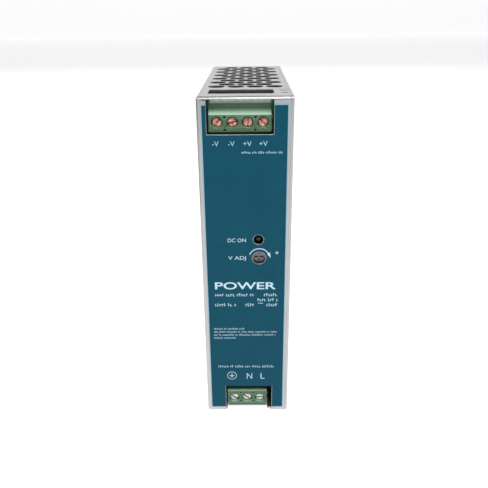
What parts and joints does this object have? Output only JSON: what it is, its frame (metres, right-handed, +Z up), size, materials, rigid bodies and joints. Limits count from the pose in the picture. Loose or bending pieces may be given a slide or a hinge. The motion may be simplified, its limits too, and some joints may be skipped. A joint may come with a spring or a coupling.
{
  "type": "din rail power supply",
  "caption": "Slim switching power supply in a folded aluminium case with a front label, screw terminals at top and bottom, a voltage trimmer and a spring latch for a top-hat rail.",
  "frame": {"origin": "middle of the bounding box in width and depth, on the bottom face of the case", "axes": "+X to the right seen from the front, -Y out of the front panel, +Y towards the rail, +Z up"},
  "size_m": [0.032, 0.102, 0.1252],
  "materials": {
    "case_aluminium": "fine matt rolled sheet",
    "label": "semi-gloss printed film",
    "terminal_green": "satin moulded",
    "copper_plated_screw": "bright plated",
    "steel_screw": "zinc plated",
    "nickel_plate": "nickel plated",
    "circuit_board": "solder mask",
    "insulating_film": "translucent film",
    "led_green": "clear tinted lens",
    "black_plastic": "moulded",
    "trimmer_blue": "moulded",
    "trimmer_metal": "satin",
    "zinc_steel": "zinc plated",
    "black_steel": "black oxide",
    "spring_steel": "drawn wire",
    "fuse_ceramic": "matt ceramic with metal caps",
    "blue_coating": "dipped epoxy",
    "thermistor_coating": "dipped epoxy",
    "yellow_box": "moulded",
    "ferrite": "ground ferrite",
    "iron_powder": "epoxy coated",
    "copper_wire": "enamelled",
    "yellow_tape": "polyester tape",
    "capacitor_sleeve": "shrink sleeve",
    "heat_sink_aluminium": "extruded"
  },
  "bodies": {
    "case": {"chassis": "case_aluminium", "side_cover": "case_aluminium", "front_label": "label", "cover_screws": "steel_screw", "output_terminal_housing": "terminal_green", "output_contacts": "nickel_plate", "output_terminal_board": "circuit_board", "input_terminal_housing": "terminal_green", "input_contacts": "nickel_plate", "input_terminal_board": "circuit_board", "main_board": "circuit_board", "board_link_pins": "nickel_plate", "board_standoffs": "steel_screw", "board_screws": "steel_screw", "insulation_sheet": "insulating_film", "status_led": "led_green", "led_spacer": "black_plastic", "trimmer_body": "trimmer_blue", "front_part_leads": "nickel_plate", "rail_bracket": "zinc_steel", "bracket_screws": "steel_screw", "latch_spring": "spring_steel", "fuse": "fuse_ceramic", "varistor": "blue_coating", "x_capacitor": "yellow_box", "y_capacitors": "blue_coating", "line_choke_core": "ferrite", "line_choke_windings": "copper_wire", "thermistor": "thermistor_coating", "bridge_rectifier": "black_plastic", "bulk_capacitor": "capacitor_sleeve", "primary_heat_sink": "heat_sink_aluminium", "switching_transistor": "black_plastic", "transformer_core": "ferrite", "transformer_bobbin": "black_plastic", "transformer_windings": "yellow_tape", "control_chips": "black_plastic", "output_heat_sink": "heat_sink_aluminium", "output_rectifier": "black_plastic", "output_capacitors": "capacitor_sleeve", "output_choke_core": "iron_powder", "output_choke_winding": "copper_wire"},
    "output_screw_1": {"output_screw_1": "copper_plated_screw"},
    "output_clamp_1": {"output_clamp_1": "nickel_plate"},
    "output_screw_2": {"output_screw_2": "copper_plated_screw"},
    "output_clamp_2": {"output_clamp_2": "nickel_plate"},
    "output_screw_3": {"output_screw_3": "copper_plated_screw"},
    "output_clamp_3": {"output_clamp_3": "nickel_plate"},
    "output_screw_4": {"output_screw_4": "copper_plated_screw"},
    "output_clamp_4": {"output_clamp_4": "nickel_plate"},
    "input_screw_1": {"input_screw_1": "steel_screw"},
    "input_clamp_1": {"input_clamp_1": "nickel_plate"},
    "input_screw_2": {"input_screw_2": "steel_screw"},
    "input_clamp_2": {"input_clamp_2": "nickel_plate"},
    "input_screw_3": {"input_screw_3": "steel_screw"},
    "input_clamp_3": {"input_clamp_3": "nickel_plate"},
    "trimmer_rotor": {"trimmer_rotor": "trimmer_metal"},
    "rail_latch": {"rail_latch": "black_steel"}
  },
  "joints": [
    {"name": "output_screw_1_turn", "type": "hinge", "parent": "case", "child": "output_screw_1", "pos_m": [-0.00932, -0.0495, 0.1167], "axis": [0, 1, 0], "range_deg": [0, 1925]},
    {"name": "output_clamp_1_rise", "type": "slide", "parent": "case", "child": "output_clamp_1", "axis": [0, -1, 0], "range_m": [0, 0.0024]},
    {"name": "output_screw_2_turn", "type": "hinge", "parent": "case", "child": "output_screw_2", "pos_m": [-0.00424, -0.0495, 0.1167], "axis": [0, 1, 0], "range_deg": [0, 1925]},
    {"name": "output_clamp_2_rise", "type": "slide", "parent": "case", "child": "output_clamp_2", "axis": [0, -1, 0], "range_m": [0, 0.0024]},
    {"name": "output_screw_3_turn", "type": "hinge", "parent": "case", "child": "output_screw_3", "pos_m": [0.00084, -0.0495, 0.1167], "axis": [0, 1, 0], "range_deg": [0, 1925]},
    {"name": "output_clamp_3_rise", "type": "slide", "parent": "case", "child": "output_clamp_3", "axis": [0, -1, 0], "range_m": [0, 0.0024]},
    {"name": "output_screw_4_turn", "type": "hinge", "parent": "case", "child": "output_screw_4", "pos_m": [0.00592, -0.0495, 0.1167], "axis": [0, 1, 0], "range_deg": [0, 1925]},
    {"name": "output_clamp_4_rise", "type": "slide", "parent": "case", "child": "output_clamp_4", "axis": [0, -1, 0], "range_m": [0, 0.0024]},
    {"name": "input_screw_1_turn", "type": "hinge", "parent": "case", "child": "input_screw_1", "pos_m": [-0.00518, -0.0495, 0.0053], "axis": [0, 1, 0], "range_deg": [0, 1925]},
    {"name": "input_clamp_1_rise", "type": "slide", "parent": "case", "child": "input_clamp_1", "axis": [0, -1, 0], "range_m": [0, 0.0024]},
    {"name": "input_screw_2_turn", "type": "hinge", "parent": "case", "child": "input_screw_2", "pos_m": [-0.0001, -0.0495, 0.0053], "axis": [0, 1, 0], "range_deg": [0, 1925]},
    {"name": "input_clamp_2_rise", "type": "slide", "parent": "case", "child": "input_clamp_2", "axis": [0, -1, 0], "range_m": [0, 0.0024]},
    {"name": "input_screw_3_turn", "type": "hinge", "parent": "case", "child": "input_screw_3", "pos_m": [0.00498, -0.0495, 0.0053], "axis": [0, 1, 0], "range_deg": [0, 1925]},
    {"name": "input_clamp_3_rise", "type": "slide", "parent": "case", "child": "input_clamp_3", "axis": [0, -1, 0], "range_m": [0, 0.0024]},
    {"name": "trimmer_turn", "type": "hinge", "parent": "case", "child": "trimmer_rotor", "pos_m": [0.0046, -0.0482, 0.0683], "axis": [0, -1, 0], "range_deg": [-135, 135]},
    {"name": "latch_slide", "type": "slide", "parent": "case", "child": "rail_latch", "axis": [0, 0, -1], "range_m": [0, 0.0035], "stiffness_N_per_m": 1500, "springref_m": -0.002, "deforming": ["latch_spring"]}
  ],
  "couplings": [
    {"joint": "output_screw_1_turn", "follows": "output_clamp_1_rise", "rad_per_m": 13963},
    {"joint": "output_screw_2_turn", "follows": "output_clamp_2_rise", "rad_per_m": 13963},
    {"joint": "output_screw_3_turn", "follows": "output_clamp_3_rise", "rad_per_m": 13963},
    {"joint": "output_screw_4_turn", "follows": "output_clamp_4_rise", "rad_per_m": 13963},
    {"joint": "input_screw_1_turn", "follows": "input_clamp_1_rise", "rad_per_m": 13963},
    {"joint": "input_screw_2_turn", "follows": "input_clamp_2_rise", "rad_per_m": 13963},
    {"joint": "input_screw_3_turn", "follows": "input_clamp_3_rise", "rad_per_m": 13963}
  ]
}
